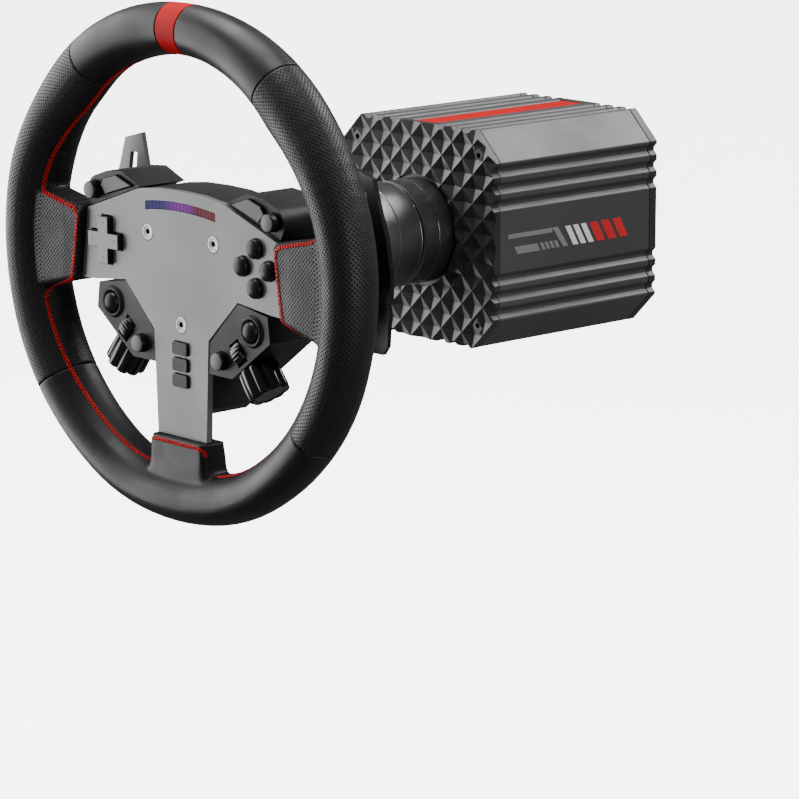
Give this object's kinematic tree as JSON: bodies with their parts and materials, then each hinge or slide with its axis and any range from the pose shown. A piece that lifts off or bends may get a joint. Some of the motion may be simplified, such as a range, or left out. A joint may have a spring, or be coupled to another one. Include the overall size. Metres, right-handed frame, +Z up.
{
  "type": "racing wheel",
  "caption": "Direct-drive racing wheel: a round leather rim with a spoked button plate, thumb knobs and shift paddles, on a quick-release shaft from a ribbed octagonal motor base.",
  "frame": {"origin": "centre of the motor base's flat underside", "axes": "+Z up, +Y along the shaft from the driver to the back of the base, +X to the driver's right"},
  "size_m": [0.3236, 0.3511, 0.3111],
  "materials": {
    "black_leather": "semi-matt black leather",
    "red_leather": "semi-matt red leather",
    "foam": "moulded rim padding, hidden under the leather",
    "dark_anodised": "satin dark grey anodised",
    "grey_plate": "satin mid grey",
    "black_plastic": "satin charcoal",
    "gloss_black": "gloss black",
    "grey_plastic": "satin light grey",
    "steel": "brushed",
    "red_paint": "satin red",
    "circuit_board": "green board",
    "copper_winding": "wound copper and iron, hidden",
    "clear_lens": "tinted light bar"
  },
  "bodies": {
    "base": {"base_housing": "dark_anodised", "front_cover": "dark_anodised", "rear_cover": "dark_anodised", "top_stripe": "red_paint", "motor_stator": "copper_winding", "front_bearing": "steel", "rear_bearing": "steel", "controller_board": "circuit_board", "power_socket": "black_plastic", "usb_socket": "steel"},
    "wheel": {"leather_top_left": "black_leather", "leather_top_right": "black_leather", "grip_left": "black_leather", "grip_right": "black_leather", "leather_bottom": "black_leather", "spoke_cover_left": "black_leather", "spoke_cover_right": "black_leather", "spoke_cover_bottom": "black_leather", "centre_stripe": "red_leather", "rim_foam": "foam", "drive_shaft": "dark_anodised", "quick_release_hub": "dark_anodised", "front_plate": "grey_plate", "rear_housing": "black_plastic", "upper_pod_left": "black_plastic", "upper_pod_right": "black_plastic", "lower_pod_left": "black_plastic", "lower_pod_right": "black_plastic", "rim_core": "steel", "motor_rotor": "steel", "plate_screw_1": "steel", "plate_screw_2": "steel", "plate_screw_3": "steel", "control_board": "circuit_board", "rev_light_lens": "clear_lens"},
    "release_collar": {"release_collar": "dark_anodised"},
    "dpad_pivot": {"dpad_pivot": "steel"},
    "dpad": {"dpad": "grey_plate"},
    "button_top": {"button_top": "black_plastic"},
    "button_left": {"button_left": "black_plastic"},
    "button_right": {"button_right": "black_plastic"},
    "button_bottom": {"button_bottom": "black_plastic"},
    "key_upper": {"key_upper": "black_plastic"},
    "key_middle": {"key_middle": "black_plastic"},
    "key_lower": {"key_lower": "black_plastic"},
    "wedge_button_left": {"wedge_button_left": "grey_plastic"},
    "wedge_button_right": {"wedge_button_right": "grey_plastic"},
    "round_button_left": {"round_button_left": "grey_plastic"},
    "round_button_right": {"round_button_right": "grey_plastic"},
    "dome_button_left": {"dome_button_left": "black_plastic"},
    "dome_button_right": {"dome_button_right": "black_plastic"},
    "small_button_left": {"small_button_left": "grey_plastic"},
    "small_button_right": {"small_button_right": "grey_plastic"},
    "roller_left": {"roller_left": "gloss_black"},
    "roller_right": {"roller_right": "gloss_black"},
    "knob_left": {"knob_left": "gloss_black"},
    "knob_right": {"knob_right": "gloss_black"},
    "paddle_left": {"paddle_left": "gloss_black"},
    "paddle_right": {"paddle_right": "gloss_black"},
    "power_button": {"power_button": "black_plastic"}
  },
  "joints": [
    {"name": "wheel_spin", "type": "hinge", "parent": "base", "child": "wheel", "pos_m": [0, -0.258, 0.068], "axis": [0, 1, 0], "continuous": true},
    {"name": "release_collar_slide", "type": "slide", "parent": "wheel", "child": "release_collar", "axis": [0, -1, 0], "range_m": [0, 0.008], "stiffness_N_per_m": 2500, "springref_m": -0.003},
    {"name": "dpad_tilt_up_down", "type": "hinge", "parent": "wheel", "child": "dpad_pivot", "pos_m": [-0.0688, -0.2556, 0.0758], "axis": [1, 0, 0], "range_deg": [-4, 4], "stiffness_Nm_per_rad": 0.6},
    {"name": "dpad_tilt_left_right", "type": "hinge", "parent": "dpad_pivot", "child": "dpad", "pos_m": [-0.0688, -0.2556, 0.0758], "axis": [0, 0, 1], "range_deg": [-4, 4], "stiffness_Nm_per_rad": 0.6},
    {"name": "button_top_press", "type": "slide", "parent": "wheel", "child": "button_top", "axis": [0, 1, 0], "range_m": [0, 0.0009], "stiffness_N_per_m": 900, "springref_m": -0.0006},
    {"name": "button_left_press", "type": "slide", "parent": "wheel", "child": "button_left", "axis": [0, 1, 0], "range_m": [0, 0.0009], "stiffness_N_per_m": 900, "springref_m": -0.0006},
    {"name": "button_right_press", "type": "slide", "parent": "wheel", "child": "button_right", "axis": [0, 1, 0], "range_m": [0, 0.0009], "stiffness_N_per_m": 900, "springref_m": -0.0006},
    {"name": "button_bottom_press", "type": "slide", "parent": "wheel", "child": "button_bottom", "axis": [0, 1, 0], "range_m": [0, 0.0009], "stiffness_N_per_m": 900, "springref_m": -0.0006},
    {"name": "key_upper_press", "type": "slide", "parent": "wheel", "child": "key_upper", "axis": [0, 1, 0], "range_m": [0, 0.0008], "stiffness_N_per_m": 900, "springref_m": -0.0006},
    {"name": "key_middle_press", "type": "slide", "parent": "wheel", "child": "key_middle", "axis": [0, 1, 0], "range_m": [0, 0.0008], "stiffness_N_per_m": 900, "springref_m": -0.0006},
    {"name": "key_lower_press", "type": "slide", "parent": "wheel", "child": "key_lower", "axis": [0, 1, 0], "range_m": [0, 0.0008], "stiffness_N_per_m": 900, "springref_m": -0.0006},
    {"name": "wedge_button_left_press", "type": "slide", "parent": "wheel", "child": "wedge_button_left", "axis": [0, 1, 0], "range_m": [0, 0.0009], "stiffness_N_per_m": 900, "springref_m": -0.0006},
    {"name": "round_button_left_press", "type": "slide", "parent": "wheel", "child": "round_button_left", "axis": [0, 1, 0], "range_m": [0, 0.001], "stiffness_N_per_m": 900, "springref_m": -0.0006},
    {"name": "dome_button_left_press", "type": "slide", "parent": "wheel", "child": "dome_button_left", "axis": [0, 1, 0], "range_m": [0, 0.0012], "stiffness_N_per_m": 900, "springref_m": -0.0006},
    {"name": "small_button_left_press", "type": "slide", "parent": "wheel", "child": "small_button_left", "axis": [0, 1, 0], "range_m": [0, 0.001], "stiffness_N_per_m": 900, "springref_m": -0.0006},
    {"name": "wedge_button_right_press", "type": "slide", "parent": "wheel", "child": "wedge_button_right", "axis": [0, 1, 0], "range_m": [0, 0.0009], "stiffness_N_per_m": 900, "springref_m": -0.0006},
    {"name": "round_button_right_press", "type": "slide", "parent": "wheel", "child": "round_button_right", "axis": [0, 1, 0], "range_m": [0, 0.001], "stiffness_N_per_m": 900, "springref_m": -0.0006},
    {"name": "dome_button_right_press", "type": "slide", "parent": "wheel", "child": "dome_button_right", "axis": [0, 1, 0], "range_m": [0, 0.0012], "stiffness_N_per_m": 900, "springref_m": -0.0006},
    {"name": "small_button_right_press", "type": "slide", "parent": "wheel", "child": "small_button_right", "axis": [0, 1, 0], "range_m": [0, 0.001], "stiffness_N_per_m": 900, "springref_m": -0.0006},
    {"name": "roller_left_spin", "type": "hinge", "parent": "wheel", "child": "roller_left", "pos_m": [-0.0517, -0.2586, 0.0235], "axis": [0.7965, 0, -0.6046], "continuous": true},
    {"name": "knob_left_spin", "type": "hinge", "parent": "wheel", "child": "knob_left", "pos_m": [-0.05575, -0.251, 0.0146], "axis": [-0.6046, 0, -0.7965], "continuous": true},
    {"name": "paddle_left_pull", "type": "hinge", "parent": "wheel", "child": "paddle_left", "pos_m": [-0.05, -0.215, 0.068], "axis": [0, 0, 1], "range_deg": [0, 5], "stiffness_Nm_per_rad": 3, "springref_deg": -2.86},
    {"name": "roller_right_spin", "type": "hinge", "parent": "wheel", "child": "roller_right", "pos_m": [0.0517, -0.2586, 0.0235], "axis": [-0.7965, 0, -0.6046], "continuous": true},
    {"name": "knob_right_spin", "type": "hinge", "parent": "wheel", "child": "knob_right", "pos_m": [0.05575, -0.251, 0.0146], "axis": [0.6046, 0, -0.7965], "continuous": true},
    {"name": "paddle_right_pull", "type": "hinge", "parent": "wheel", "child": "paddle_right", "pos_m": [0.05, -0.215, 0.068], "axis": [0, 0, -1], "range_deg": [0, 5], "stiffness_Nm_per_rad": 3, "springref_deg": -2.86},
    {"name": "power_button_press", "type": "slide", "parent": "base", "child": "power_button", "axis": [0, -1, 0], "range_m": [0, 0.0012], "stiffness_N_per_m": 900, "springref_m": -0.0006}
  ]
}
